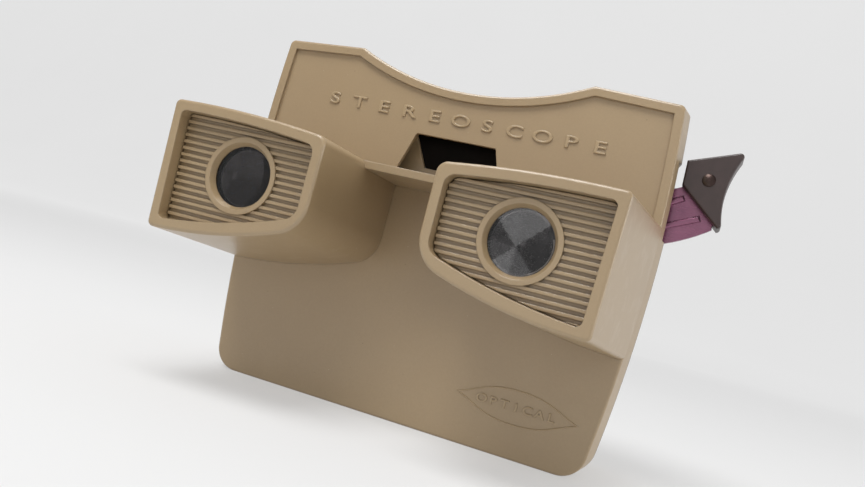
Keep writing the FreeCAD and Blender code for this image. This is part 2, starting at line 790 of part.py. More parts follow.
def lever_arm():
    """Sheet-steel arm: boss at the pivot, spring ear, ribbed outer end and tongue for the grip."""
    body = new_body("lever_arm")
    front, thick = d("arm_front"), d("arm_thick")
    px, pz = d("pivot_side"), d("pivot_height")
    boss, half, ear = d("boss_radius"), d("arm_half"), d("ear_half")
    reach = (boss * boss - half * half).root()
    drop = (boss * boss - ear * ear).root()
    tip = pz - d("ear_length")
    contour = [
        (px - ear, tip, ear),
        (px, tip - ear, ear),
        (px + ear, tip, None),
        (px + ear, pz - drop, boss),
        (*on_arm(reach, -half), None),
        (38.0, 57.6, None),
        (54.0, 59.1, 45.0),
        (65.6, 65.3, None),
        (64.9, 72.3, None),
        (65.2, 78.0, None),
        (64.8, 81.0, None),
        (58.7, 78.9, None),
        (57.7, 74.8, None),
        (55.5, 73.7, None),
        (50.0, 71.8, None),
        (38.0, 66.3, None),
        (*on_arm(reach, half), boss),
        (px - boss, pz, boss),
        (px - ear, pz - drop, None),
    ]
    prism(body, "Pad", outline(body, front, contour, "arm_outline"), thick, "sheet", 1)
    for name, corners in (
        ("low_rib", [(50.3, 61.1, None), (62.7, 66.7, None), (62.1, 68.1, None), (49.7, 62.5, None)]),
        ("high_rib", [(50.4, 66.6, None), (58.1, 70.9, None), (57.4, 72.2, None), (49.7, 67.9, None)]),
    ):
        prism(body, "Pad", outline(body, front + 0.2, corners, f"{name}_outline"), 1.0, name, -1)
    round_edges(body, 0.5, lambda e: lies_at(e, front.value - 0.8), "rib_round")
    bores = [
        (px, pz, d("pivot_radius") + d("fit_gap")),
        (px, tip, 0.8),
        (d("rivet_side"), d("rivet_height"), d("rivet_radius") + d("fit_gap")),
    ]
    bores += [(*on_arm(d("pawl_root"), spot), 0.85) for spot in (1.3, -1.3)]
    prism(body, "Pocket", circles(body, front, bores, "bores"), 3.0, "holes", 1)
    return body


GRIP = [
    (66.7, 65.45, 0.9), (67.45, 66.6, -26.0), (69.0, 83.2, 0.9),
    (68.0, 84.3, None), (56.5, 80.3, None), (56.6, 74.2, None),
]
GRIP_SEAT = [
    (60.0, 62.0, None), (66.0, 65.0, None), (65.2, 72.3, None), (65.5, 78.2, None),
    (65.1, 81.4, None), (58.4, 79.2, None), (57.2, 75.0, None), (54.0, 73.1, None),
]


def grip_half(label, front, back, outer):
    """One half of the thumb grip, with a seat for the arm on its inner face."""
    body = new_body(label)
    inner = back if outer < 0 else front
    prism(body, "Pad", outline(body, inner, GRIP, "grip_outline"), back - front, "block", outer)
    face = (front if outer < 0 else back).value
    round_edges(body, 0.5, lambda e: lies_at(e, face), "edge_round")
    prism(body, "Pocket", outline(body, inner, GRIP_SEAT, "seat_outline"), d("arm_thick") / 2.0 + 0.05,
          "seat", outer)
    bore = circles(body, inner, [(d("rivet_side"), d("rivet_height"),
                                  d("rivet_radius") + d("fit_gap"))], "bore_outline")
    prism(body, "Pocket", bore, 6.0, "bore", outer)
    return body


def domed_rivet(label, across, up, shank, head, front, back, crown):
    """Rivet along Y with a domed head at each end."""
    bend = (head * head + crown * crown) / (crown * 2.0)
    return turned(label, across, up, [
        (0.0, front - crown, bend), (head, front, None), (shank, front, None),
        (shank, back, None), (head, back, bend), (0.0, back + crown, None)])


def pivot_stud():
    """Shouldered pin in the reel guide that the lever turns on."""
    shaft, groove = d("pivot_radius"), d("pivot_radius") - 0.4
    behind = d("seam_face") + d("guide_thick")
    arm_back = d("arm_front") + d("arm_thick")
    clip_front = arm_back + 0.6
    return turned("lever_pivot_stud", d("pivot_side"), d("pivot_height"), [
        (0.0, d("seam_face") + 0.05, None), (shaft, d("seam_face") + 0.05, None),
        (shaft, behind + 0.05, None), (shaft * 2.0, behind + 0.05, None),
        (shaft * 2.0, d("arm_front") - 0.05, None), (shaft, d("arm_front") - 0.05, None),
        (shaft, clip_front, None), (groove, clip_front, None), (groove, clip_front + 0.55, None),
        (shaft, clip_front + 0.55, None), (shaft, clip_front + 1.2, None), (0.0, clip_front + 1.2, None)])


def pivot_clip():
    """Snap ring in the stud's groove."""
    inner, outer, gap = d("pivot_radius") - 0.35, d("pivot_radius") + 1.1, 0.7
    front = d("arm_front") + d("arm_thick") + 0.63
    turn = math.radians(30.0)

    def ends(radius):
        return (radius * radius - gap * gap).root()

    body = new_body("pivot_clip")
    prism(body, "Pad", outline(body, front, [
        (gap, -ends(outer), outer), (outer * math.cos(turn), outer * math.sin(turn), outer),
        (-outer * math.cos(turn), outer * math.sin(turn), outer), (-gap, -ends(outer), None),
        (-gap, -ends(inner), -inner), (-inner * math.cos(turn), inner * math.sin(turn), -inner),
        (inner * math.cos(turn), inner * math.sin(turn), -inner), (gap, -ends(inner), None),
    ], "ring_outline"), 0.49, "ring", 1)
    place(body, d("pivot_side"), d("pivot_height"))
    return body


def pawl():
    """Flat spring with a tooth that turns the reel, riveted to the arm's front."""
    body = new_body("pawl")
    front = d("arm_front") - 0.55
    near, far = d("pawl_root") - 2.0, d("pawl_reach")
    prism(body, "Pad", outline(body, front, on_arm_box(near, far, size(2.25)), "strip_outline"),
          0.4, "strip", 1)
    tooth = outline(body, front + 0.2, on_arm_box(far - 1.3, far, size(1.0)), "tooth_outline")
    prism(body, "Pad", tooth, front + 0.2 - (d("seam_face") + 0.1), "tooth", -1)
    bores = [(*on_arm(d("pawl_root"), spot), 1.0) for spot in (1.3, -1.3)]
    prism(body, "Pocket", circles(body, front, bores, "bores"), 3.0, "holes", 1)
    return body


def pawl_rivets():
    front = d("arm_front") - 0.67
    back = d("arm_front") + d("arm_thick") + 0.05
    return group("pawl_rivets", [
        domed_rivet(f"pawl_rivet_{index}", *on_arm(d("pawl_root"), spot), size(0.8), size(1.15),
                    front, back, size(0.3))
        for index, spot in enumerate((1.3, -1.3), start=1)])


def spring_post():
    """Headed pin in the reel guide that the return spring hooks on."""
    radius = d("anchor_radius")
    front = d("seam_face") + 0.05
    return turned("spring_post", d("anchor_side"), d("anchor_height"), [
        (0.0, front, None), (radius, front, None), (radius, front + 4.7, None),
        (radius + 0.8, front + 4.7, None), (radius + 0.8, front + 5.3, None), (0.0, front + 5.3, None)])


def return_spring():
    """Tension spring from the lever's ear to the post: close coil with a ring at each end."""
    wire, coil = SHEET["wire_radius"], SHEET["coil_radius"]
    start = FreeCAD.Vector(SHEET["pivot_side"], 0, SHEET["pivot_height"] - SHEET["ear_length"])
    end = FreeCAD.Vector(SHEET["anchor_side"], 0, SHEET["anchor_height"])
    span = end - start
    reach = span.Length
    first, last = 2.2, reach - 1.5
    helix = Part.makeHelix((last - first) / 20.0, last - first, coil)
    helix.translate(FreeCAD.Vector(0, 0, first))
    section = Part.Wire(Part.makeCircle(wire, FreeCAD.Vector(coil, 0, first), FreeCAD.Vector(0, 1, 0)))
    winding = Part.Wire(helix).makePipeShell([section], True, True)
    ear_ring = Part.makeTorus(1.5, wire, FreeCAD.Vector(0, 0, 1.5), FreeCAD.Vector(0, 1, 0))
    post_ring = Part.makeTorus(1.8, wire, FreeCAD.Vector(0, 0, reach - 0.45), FreeCAD.Vector(1, 0, 0))
    shape = winding.fuse([ear_ring, post_ring])
    spring = DOC.addObject("Part::Feature", "lever_return_spring")
    spring.Label = "lever_return_spring"
    spring.Shape = shape
    # the coil is wound along its own Z, then laid along the line from the ear to the post with
    # its first ring standing across the arm's sheet
    along = span.normalize()
    spring.Placement = FreeCAD.Placement(
        FreeCAD.Vector(start.x, SHEET["arm_front"] + SHEET["arm_thick"] / 2.0, start.z),
        FreeCAD.Rotation(FreeCAD.Vector(0, -1, 0), FreeCAD.Vector(), along, "ZXY"))
    DOC.recompute()
    return spring


def main():
    right_panel = eyepiece_panel()
    right_seat = reel_seat()
    half_eyes = d("eye_spacing") / 2.0
    eye = d("eye_height")
    retainer_front = d("panel_front") + 1.25 + 1.6 + 0.05
    retainer = (d("pupil_radius") - 0.35, d("lens_radius"), retainer_front, retainer_front + 1.0)
    arm_back = d("arm_front") + d("arm_thick")
    parts = [
        eyepiece_housing(),
        window_housing(),
        right_panel,
        mirrored(right_panel, "left_eyepiece_panel"),
        lens("right_lens", half_eyes),
        lens("left_lens", -half_eyes),
        tube("right_lens_retainer", half_eyes, eye, *retainer),
        tube("left_lens_retainer", -half_eyes, eye, *retainer),
        picture_mask(),
        reel_guide(),
        right_seat,
        mirrored(right_seat, "left_reel_seat"),
        guide_screws(),
        light_shield(),
        diffuser("right_diffuser", 1.0),
        diffuser("left_diffuser", -1.0),
        lever_arm(),
        grip_half("lever_grip_front", d("grip_front"), d("grip_split"), -1),
        grip_half("lever_grip_back", d("grip_split"), d("grip_back"), 1),
        domed_rivet("grip_rivet", d("rivet_side"), d("rivet_height"), d("rivet_radius"),
                    size(1.6), d("grip_front") - 0.02, d("grip_back") + 0.02, size(0.55)),
        pivot_stud(),
        tube("pivot_washer", d("pivot_side"), d("pivot_height"), d("pivot_radius") + d("fit_gap"),
             d("pivot_radius") + 1.7, arm_back + 0.05, arm_back + 0.55),
        pivot_clip(),
        pawl(),
        pawl_rivets(),
        spring_post(),
        return_spring(),
    ]
    DOC.recompute()
    faults = [item.Name for item in DOC.Objects
              if any(word in item.State for word in ("Invalid", "Error"))]
    faults += [part.Label for part in parts if part.Shape.isNull() or not part.Shape.isValid()]
    if faults:
        raise RuntimeError("not sound: " + ", ".join(faults))
    os.makedirs("parts", exist_ok=True)
    for part in parts:
        part.Shape.exportStep(f"parts/{part.Label}.step")
        print(part.Label, len(part.Shape.Solids), round(part.Shape.Volume, 1), part.Shape.BoundBox)


main()
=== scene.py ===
import math

import bpy
from mathutils import Matrix, Vector


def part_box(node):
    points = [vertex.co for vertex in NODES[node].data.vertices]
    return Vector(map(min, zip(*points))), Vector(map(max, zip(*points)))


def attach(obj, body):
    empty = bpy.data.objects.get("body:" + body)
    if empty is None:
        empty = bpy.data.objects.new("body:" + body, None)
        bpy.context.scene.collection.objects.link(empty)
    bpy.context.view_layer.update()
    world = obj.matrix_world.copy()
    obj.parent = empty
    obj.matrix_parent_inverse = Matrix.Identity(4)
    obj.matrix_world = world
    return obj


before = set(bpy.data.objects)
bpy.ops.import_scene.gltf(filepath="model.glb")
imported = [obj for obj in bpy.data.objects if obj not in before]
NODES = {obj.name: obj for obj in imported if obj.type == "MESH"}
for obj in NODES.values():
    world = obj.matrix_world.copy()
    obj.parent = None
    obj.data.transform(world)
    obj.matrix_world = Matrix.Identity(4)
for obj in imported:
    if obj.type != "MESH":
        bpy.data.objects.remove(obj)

bl_info = {
    "name": "Stereo viewer finish",
    "version": (1, 0, 0),
    "blender": (4, 5, 0),
    "location": "View3D > Sidebar > Stereo viewer",
    "description": "Finishes, relief details and studio for a moulded reel stereo viewer",
    "category": "Object",
}

MM = 0.001
UPRIGHT = (math.pi / 2, 0.0, 0.0)
FACE_THICKNESS = 2.05 * MM
FIELD_SUNK = 0.8 * MM
EYE_SIDE = sum(corner.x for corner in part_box("right_lens")) / 2
PLATE_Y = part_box("picture_mask")[0].y - FACE_THICKNESS
FIELD_Y = PLATE_Y + FIELD_SUNK
SEAM_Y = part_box("eyepiece_housing")[1].y


# ------------------------------------------------------------------ settings

class ViewerFinish(bpy.types.PropertyGroup):
    """Colours of the viewer's materials, as sRGB hex."""

    shell: bpy.props.StringProperty(
        name="Shell", description="Moulded polystyrene of both shells", default="#9F8867")
    shell_worn: bpy.props.StringProperty(
        name="Shell, handled", description="The same moulding where hands have polished it",
        default="#AC9571")
    # the dust colour also serves as painted shade, laid by ambient occlusion into corners and
    # recesses
    dust: bpy.props.StringProperty(
        name="Dust", description="Dirt that has settled in corners", default="#5A4526")
    lint: bpy.props.StringProperty(
        name="Lint", description="Pale dust specks on the shells", default="#E6DCC8")
    seam: bpy.props.StringProperty(
        name="Seam", description="Shade in the gap between the shells", default="#2E2212")
    lens: bpy.props.StringProperty(
        name="Lens", description="Faint tint of the clear lenses", default="#D8D0D2")
    sheet: bpy.props.StringProperty(
        name="Black sheet", description="Matt black masks and rings", default="#0B0806")
    sheet_rubbed: bpy.props.StringProperty(
        name="Black sheet, rubbed", description="Browner patches of the black coating",
        default="#150F0B")
    frosted: bpy.props.StringProperty(
        name="Frosted sheet", description="White translucent window sheet", default="#EDEBE2")
    frosted_aged: bpy.props.StringProperty(
        name="Frosted sheet, aged", description="Slightly yellowed patches of the window sheet",
        default="#E2DECF")
    lacquer: bpy.props.StringProperty(
        name="Lacquer", description="Violet lacquer on the steel lever", default="#9A5E7A")
    lacquer_deep: bpy.props.StringProperty(
        name="Lacquer, thick", description="Darker violet where the lacquer lies thick",
        default="#5A2C48")
    # paler streaks along the rolling lines: partly the metal's lines, partly painted sheen
    lacquer_lines_and_sheen: bpy.props.StringProperty(
        name="Lacquer, thin", description="Paler violet along the rolling lines",
        default="#A47890")
    grip: bpy.props.StringProperty(
        name="Grip", description="Dark brown thumb grip", default="#382B29")
    grip_rubbed: bpy.props.StringProperty(
        name="Grip, rubbed", description="Paler brown where thumbs have rubbed",
        default="#463634")
    rivet: bpy.props.StringProperty(
        name="Rivet", description="Blackened steel of the grip's rivet", default="#453835")
    plating: bpy.props.StringProperty(
        name="Zinc plating", description="Pins, screws and washer", default="#B9B8B2")
    spring: bpy.props.StringProperty(
        name="Spring steel", description="Oiled spring steel", default="#8C8A86")
    stain: bpy.props.StringProperty(
        name="Stain", description="Old oil on the bare steel parts", default="#6F6A60")


class ViewerRelief(bpy.types.PropertyGroup):
    """Sizes of the raised lettering and the badge."""

    word: bpy.props.StringProperty(
        name="Word", description="Generic word on the upper field", default="STEREOSCOPE")
    word_width: bpy.props.FloatProperty(
        name="Width", description="From the first letter's middle to the last's",
        default=72.5 * MM, unit="LENGTH")
    word_height: bpy.props.FloatProperty(
        name="Height above base", description="Middle of the letters",
        default=77.8 * MM, unit="LENGTH")
    letter_height: bpy.props.FloatProperty(
        name="Capital height", description="Height of one capital",
        default=3.15 * MM, unit="LENGTH")
    letter_rise: bpy.props.FloatProperty(
        name="Relief", description="How far the letters stand out",
        default=0.34 * MM, unit="LENGTH")
    badge_word: bpy.props.StringProperty(
        name="Badge word", description="Generic word inside the badge", default="OPTICAL")
    badge_width: bpy.props.FloatProperty(
        name="Badge width", description="Full width of the plain almond badge",
        default=30.4 * MM, unit="LENGTH")
    badge_height: bpy.props.FloatProperty(
        name="Badge height", description="Full height of the plain almond badge",
        default=8.2 * MM, unit="LENGTH")
    badge_place: bpy.props.FloatProperty(
        name="Badge above base", description="Middle of the badge", default=12.3 * MM,
        unit="LENGTH")
    badge_gap: bpy.props.FloatProperty(
        name="Badge letter gap", description="From one badge letter's middle to the next",
        default=2.9 * MM, unit="LENGTH")
    badge_letter_height: bpy.props.FloatProperty(
        name="Badge capital height", description="Height of one badge capital",
        default=2.05 * MM, unit="LENGTH")
    badge_letter_rise: bpy.props.FloatProperty(
        name="Badge relief", description="How far the badge's letters stand out",
        default=0.3 * MM, unit="LENGTH")
    line_width: bpy.props.FloatProperty(
        name="Line width", description="Width of the badge's raised line",
        default=0.6 * MM, unit="LENGTH")


class ViewerStage(bpy.types.PropertyGroup):
    """Floor, light and camera."""

    floor: bpy.props.StringProperty(
        name="Floor", description="Pale paper sweep", default="#A6A6A6")
    floor_shade: bpy.props.StringProperty(
        name="Floor, shaded", description="Slightly darker clouds in the paper",
        default="#9E9E9E")
    glow: bpy.props.FloatProperty(
        name="Paper glow", description="Light that comes through the paper from behind it",
        default=0.42, min=0.0)
    sky: bpy.props.FloatProperty(
        name="Surrounding light", description="Strength of the room's white walls, high up",
        default=0.38, min=0.0)
    skyline: bpy.props.FloatProperty(
        name="Low surrounding light", description="Strength of the white walls near the floor",
        default=0.52, min=0.0)
    key: bpy.props.FloatProperty(
        name="Key light", description="Power of the softbox overhead, in watts",
        default=3.3, min=0.0)
    fill: bpy.props.FloatProperty(
        name="Fill light", description="Power of the large front panel, in watts",
        default=0.8, min=0.0)
    reflector: bpy.props.FloatProperty(
        name="Reflector", description="Power of the low panel on the right, in watts",
        default=3.1, min=0.0)
    umbrella: bpy.props.FloatProperty(
        name="Umbrella", description="Power of the ribbed umbrella that the lenses mirror",
        default=0.14, min=0.0)
    lens: bpy.props.FloatProperty(
        name="Focal length", description="Camera lens for a 36 mm wide sensor",
        default=33.3, unit="CAMERA")


# ------------------------------------------------------------------ shared helpers

def linear(code):
    """Turns an sRGB hex colour into linear RGBA."""
    channels = [int(code[i:i + 2], 16) / 255 for i in (1, 3, 5)]
    return [c / 12.92 if c <= 0.04045 else ((c + 0.055) / 1.055) ** 2.4 for c in channels] + [1.0]


def add(tree, kind, inputs=(), out=0, **settings):
    """Adds a shader node with its settings, and its values or links by socket or in order.

    It gives the node's output called or numbered out, or None where the node has none.
    """
    made = tree.nodes.new("ShaderNode" + kind)
    for key, value in settings.items():
        setattr(made, key, value)
    for key, value in inputs.items() if isinstance(inputs, dict) else enumerate(inputs):
        if isinstance(value, bpy.types.NodeSocket):
            tree.links.new(value, made.inputs[key])
        else:
            made.inputs[key].default_value = value
    return made.outputs[out] if made.outputs else None


def start(name):
    """A new material, its empty tree, and the object's own coordinates in metres."""
    made = bpy.data.materials.new(name)
    made.use_nodes = True
    tree = made.node_tree
    tree.nodes.clear()
    return made, tree, add(tree, "TexCoord", out="Object")


def surface(tree, ground, layers, shading):
    """Lays colours over a ground colour, each by its share, and shades the result."""
    colour = linear(ground)
    for share, code in layers:
        colour = add(tree, "Mix", {0: share, 6: colour, 7: linear(code)}, 2, data_type="RGBA")
    shader = add(tree, "BsdfPrincipled", {"Base Color": colour, **shading})
    add(tree, "OutputMaterial", {"Surface": shader})


def cover(material, names):
    """Gives CAD nodes a finish."""
    for name in names:
        NODES[name].data.materials.clear()
        NODES[name].data.materials.append(material)


def alone():
    """Leaves nothing selected, so that the next operator acts only on what it adds."""
    bpy.ops.object.select_all(action="DESELECT")


def bake_place():
    """Puts the selected object's place, turn and size into its mesh."""
    bpy.ops.object.transform_apply(location=True, rotation=True, scale=True)


def settle(piece, name, material, body):
    """Ends a piece: its place goes into its mesh, and it rides on its body."""
    alone()
    piece.select_set(True)
    bpy.context.view_layer.objects.active = piece
    bake_place()
    piece.name = name
    piece.data.name = name
    piece.data.materials.clear()
    piece.data.materials.append(material)
    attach(piece, body)


# ------------------------------------------------------------------ materials

def moulded_polystyrene(name, has_seam=False, is_crest=False):
    """Injection-moulded high-impact polystyrene, satin tool finish.

    It gives the eye one even warm colour with a soft gloss that turns pale and mirror-like at a
    glancing angle, a very fine grain, painted shade in the corners (ambient occlusion laid in as
    the dust colour), sparse dust, and paler, smoother patches where fingers have rubbed. Raised
    crests are rubbed more and get no painted corner shade.
    """
    colours = bpy.context.scene.viewer_finish
    made, tree, place = start(name)
    worn_from, worn_to = (0.5, 0.9) if is_crest else (0.0, 0.35)
    clouds = add(tree, "TexNoise", {"Vector": place, "Scale": 1 / (38 * MM), "Detail": 3})
    # real grain is about 0.05 mm: drawn at 0.45 mm so that it shows
    grain = add(tree, "TexNoise", {"Vector": place, "Scale": 1 / (0.45 * MM)})
    drawn_out = add(tree, "Mapping", {"Vector": place, "Scale": (1.0, 1.0, 0.35)})
    flow = add(tree, "TexNoise", {
        "Vector": drawn_out, "Scale": 1 / (9 * MM), "Detail": 4, "Roughness": 0.6})
    rubbed = add(tree, "TexNoise", {
        "Vector": place, "Scale": 1 / (5 * MM), "Detail": 4, "Roughness": 0.7})
    specks = add(tree, "TexVoronoi", {"Vector": place, "Scale": 1 / (4.2 * MM)})
    lint = add(tree, "TexVoronoi", {"Vector": place, "Scale": 1 / (3.1 * MM)})
    layers = [
        (add(tree, "MapRange", (clouds, 0.35, 0.7, worn_from, worn_to)), colours.shell_worn),
        (add(tree, "MapRange", (specks, 0.02, 0.05, 0.35, 0.0)), colours.dust),
        (add(tree, "MapRange", (lint, 0.012, 0.03, 0.6, 0.0)), colours.lint),
        (add(tree, "MapRange", (grain, 0.3, 0.7, 0.0, 0.06)), colours.dust),
    ]
    if not is_crest:
        # painted shade: ambient occlusion darkens corners and recesses towards the dust colour
        shade_openness = add(tree, "AmbientOcclusion", {"Distance": 1.2 * MM}, "AO", samples=4)
        layers.append((add(tree, "MapRange", (shade_openness, 0.15, 0.6, 0.6, 0.0)), colours.dust))
    if has_seam:
        depth = add(tree, "SeparateXYZ", {"Vector": place}, "Y")
        past = add(tree, "Math", (depth, SEAM_Y), operation="SUBTRACT")
        off = add(tree, "Math", (past,), operation="ABSOLUTE")
        # the gap between the shells is about 0.05 mm: drawn at 0.5 mm so that it shows
        layers.append((add(tree, "MapRange", (off, 0.2 * MM, 0.32 * MM, 0.85, 0.0)),
                       colours.seam))
    edges = add(tree, "Bevel", {"Radius": 0.35 * MM}, samples=4)
    relief = add(tree, "Bump", {
        "Strength": 0.10, "Distance": 0.03 * MM, "Height": grain, "Normal": edges})
    waves = add(tree, "Bump", {
        "Strength": 0.12, "Distance": 0.15 * MM, "Height": flow, "Normal": relief})
    surface(tree, colours.shell, layers, {
        "Roughness": add(tree, "MapRange", (rubbed, 0.52, 0.74, 0.36, 0.28)),
        "IOR": 1.55, "Specular IOR Level": 0.8, "Normal": waves})
    return made


def cast_acrylic():
    """Clear acrylic, cast and polished, for the lenses.

    It gives the eye a dark, glossy face with faint wiping scratches and a few dust specks.
    """
    made, tree, place = start("polished_acrylic_clear")
    swirl = add(tree, "TexNoise", {"Vector": place, "Scale": 1 / (9 * MM), "Detail": 1}, "Color")
    bent = add(tree, "Mix", {0: 0.35, 4: place, 5: swirl}, 1, data_type="VECTOR")
    # hairlines are about 0.02 mm wide: drawn at 0.1 mm so that they show
    lines = add(tree, "TexVoronoi", {"Vector": bent, "Scale": 1 / (5.5 * MM)},
                feature="DISTANCE_TO_EDGE")
    patches = add(tree, "TexNoise", {
        "Vector": place, "Scale": 1 / (3.5 * MM), "Detail": 3, "Roughness": 0.6})
    scratched = add(tree, "Math", (
        add(tree, "MapRange", (lines, 0.006, 0.016, 0.5, 0.0)),
        add(tree, "MapRange", (patches, 0.46, 0.6))), operation="MULTIPLY")
    dust = add(tree, "TexVoronoi", {"Vector": place, "Scale": 1 / (1.3 * MM)})
    marks = add(tree, "Math", (
        scratched, add(tree, "MapRange", (dust, 0.03, 0.06, 0.5, 0.0))), operation="MAXIMUM")
    across = add(tree, "Mapping", {"Vector": place, "Scale": (0.2, 1.0, 1.6)})
    wiping = add(tree, "TexNoise", {"Vector": across, "Scale": 1 / (0.8 * MM)})
    surface(tree, bpy.context.scene.viewer_finish.lens, [], {
        "Roughness": add(tree, "Math", (
            marks, add(tree, "MapRange", (wiping, 0.45, 0.8, 0.01, 0.06))), operation="ADD"),
        "Transmission Weight": 1.0, "IOR": 1.49})
    return made


def black_card():
    """Matt black coated card and rings: almost no shine, a slight paper tooth."""
    colours = bpy.context.scene.viewer_finish
    made, tree, place = start("coated_card_black")
    # paper tooth is about 0.08 mm: drawn at 0.25 mm so that it shows
    tooth = add(tree, "TexNoise", {"Vector": place, "Scale": 1 / (0.25 * MM)})
    patches = add(tree, "TexNoise", {"Vector": place, "Scale": 1 / (6 * MM), "Detail": 3})
    surface(tree, colours.sheet, [
        (add(tree, "MapRange", (patches, 0.3, 0.7, 0.0, 0.4)), colours.sheet_rubbed),
    ], {
        "Roughness": add(tree, "MapRange", (tooth, 0.3, 0.7, 0.8, 0.95)), "IOR": 1.25,
        "Normal": add(tree, "Bump", {
            "Strength": 0.2, "Distance": 0.05 * MM, "Height": tooth})})
    return made


def frosted_acrylic():
    """Opal acrylic sheet with a frosted face: even milky white that lets soft light through."""
    colours = bpy.context.scene.viewer_finish
    made, tree, place = start("frosted_acrylic_white")
    # real frosting is about 0.05 mm: drawn at 0.3 mm so that it shows
    frost = add(tree, "TexNoise", {"Vector": place, "Scale": 1 / (0.3 * MM)})
    patches = add(tree, "TexNoise", {"Vector": place, "Scale": 1 / (12 * MM), "Detail": 3})
    surface(tree, colours.frosted, [
        (add(tree, "MapRange", (patches, 0.35, 0.7, 0.0, 0.5)), colours.frosted_aged),
    ], {
        "Roughness": add(tree, "MapRange", (frost, 0.3, 0.7, 0.45, 0.62)),
        "IOR": 1.49, "Transmission Weight": 0.45,
        "Normal": add(tree, "Bump", {
            "Strength": 0.3, "Distance": 0.04 * MM, "Height": frost})})
    return made


def violet_lacquer():
    """Pressed steel under transparent violet lacquer.

    The metal's rolling lines show through the colour as paler streaks that are partly painted
    sheen, and the lacquer has a clear gloss.
    """
    colours = bpy.context.scene.viewer_finish
    made, tree, place = start("lacquered_steel_violet")
    along = add(tree, "Mapping", {"Vector": place, "Scale": (0.08, 1.0, 1.6)})
    # rolling lines are about 0.05 mm apart: drawn at 0.6 mm so that they show
    rolling = add(tree, "TexNoise", {
        "Vector": along, "Scale": 1 / (0.6 * MM), "Detail": 3, "Roughness": 0.6})
    patches = add(tree, "TexNoise", {"Vector": place, "Scale": 1 / (7 * MM), "Detail": 3})
    edges = add(tree, "Bevel", {"Radius": 0.25 * MM}, samples=4)
    surface(tree, colours.lacquer, [
        (add(tree, "MapRange", (patches, 0.35, 0.7, 0.0, 0.6)), colours.lacquer_deep),
        # painted sheen: paler violet streaks along the rolling lines, over the real line pattern
        (add(tree, "MapRange", (rolling, 0.35, 0.75, 0.0, 0.25)), colours.lacquer_lines_and_sheen),
    ], {
        "Metallic": 0.75,
        "Roughness": add(tree, "MapRange", (rolling, 0.3, 0.7, 0.24, 0.4)),
        "Coat Weight": 0.6, "Coat Roughness": 0.08,
        "Normal": add(tree, "Bump", {
            "Strength": 0.15, "Distance": 0.05 * MM, "Height": rolling, "Normal": edges})})
    return made


def phenolic_grip():
    """Compression-moulded phenolic, dark brown: dense, slightly glossy, rubbed in patches."""
    colours = bpy.context.scene.viewer_finish
    made, tree, place = start("moulded_phenolic_brown")
    # real grain is about 0.05 mm: drawn at 0.4 mm so that it shows
    grain = add(tree, "TexNoise", {
        "Vector": place, "Scale": 1 / (0.4 * MM), "Detail": 3, "Roughness": 0.6})
    rubbed = add(tree, "TexNoise", {
        "Vector": place, "Scale": 1 / (3 * MM), "Detail": 4, "Roughness": 0.65})
    edges = add(tree, "Bevel", {"Radius": 0.3 * MM}, samples=4)
    surface(tree, colours.grip, [
        (add(tree, "MapRange", (rubbed, 0.4, 0.75, 0.0, 0.5)), colours.grip_rubbed),
    ], {
        "Roughness": add(tree, "MapRange", (rubbed, 0.3, 0.7, 0.46, 0.36)), "IOR": 1.55,
        "Normal": add(tree, "Bump", {
            "Strength": 0.12, "Distance": 0.05 * MM, "Height": grain, "Normal": edges})})
    return made


def metal(name, code, stretch, smooth, rough):
    """Bare, plated or blackened steel with a soft metal gloss and a few oil stains.

    Its fine tool lines run the way stretch is smallest.
    """
    made, tree, place = start(name)
    along = add(tree, "Mapping", {"Vector": place, "Scale": stretch})
    # tool lines are about 0.02 mm apart: drawn at 0.3 mm so that they show
    lines = add(tree, "TexNoise", {
        "Vector": along, "Scale": 1 / (0.3 * MM), "Detail": 3, "Roughness": 0.6})
    stain = add(tree, "TexNoise", {"Vector": place, "Scale": 1 / (2 * MM), "Detail": 3})
    edges = add(tree, "Bevel", {"Radius": 0.12 * MM}, samples=4)
    surface(tree, code, [
        (add(tree, "MapRange", (stain, 0.4, 0.75, 0.0, 0.35)),
         bpy.context.scene.viewer_finish.stain),
    ], {
        "Metallic": 1.0,
        "Roughness": add(tree, "MapRange", (lines, 0.3, 0.7, smooth, rough)),
        "Normal": add(tree, "Bump", {
            "Strength": 0.1, "Distance": 0.03 * MM, "Height": lines, "Normal": edges})})
    return made


# ------------------------------------------------------------------ operators

class VIEWER_OT_shells(bpy.types.Operator):
    """Moulded finish for both shells, the eyepiece panels, the reel guide and the reel seats"""

    bl_idname = "viewer.shells"
    bl_label = "Shells"

    def execute(self, context):
        cover(moulded_polystyrene("moulded_polystyrene_shell", has_seam=True),
              ["eyepiece_housing", "window_housing"])
        cover(moulded_polystyrene("moulded_polystyrene_insert"), [
            "right_eyepiece_panel", "left_eyepiece_panel", "reel_guide", "right_reel_seat",
            "left_reel_seat"])
        return {"FINISHED"}


class VIEWER_OT_optics(bpy.types.Operator):
    """Lenses, their rings, the black masks and the frosted windows"""

    bl_idname = "viewer.optics"
    bl_label = "Optics"

    def execute(self, context):
        cover(cast_acrylic(), ["right_lens", "left_lens"])
        cover(black_card(), ["picture_mask", "light_shield", "right_lens_retainer",
                             "left_lens_retainer"])
        cover(frosted_acrylic(), ["right_diffuser", "left_diffuser"])
        return {"FINISHED"}


class VIEWER_OT_lever(bpy.types.Operator):
    """Lever arm, grip and the small steel parts of the mechanism"""

    bl_idname = "viewer.lever"
    bl_label = "Lever"

    def execute(self, context):
        colours = context.scene.viewer_finish
        cover(violet_lacquer(), ["lever_arm"])
        cover(phenolic_grip(), ["lever_grip_front", "lever_grip_back"])
        cover(metal("blackened_steel_rivet", colours.rivet, (1.0, 0.3, 1.0), 0.35, 0.5),
              ["grip_rivet"])
        cover(metal("zinc_plated_steel_turned", colours.plating, (1.0, 0.1, 1.0), 0.25, 0.4),
              ["lever_pivot_stud", "pivot_washer", "guide_screws", "pawl_rivets", "spring_post"])
        cover(metal("spring_steel_rolled", colours.spring, (0.1, 1.0, 1.0), 0.22, 0.38),
              ["pivot_clip", "pawl", "lever_return_spring"])
        return {"FINISHED"}


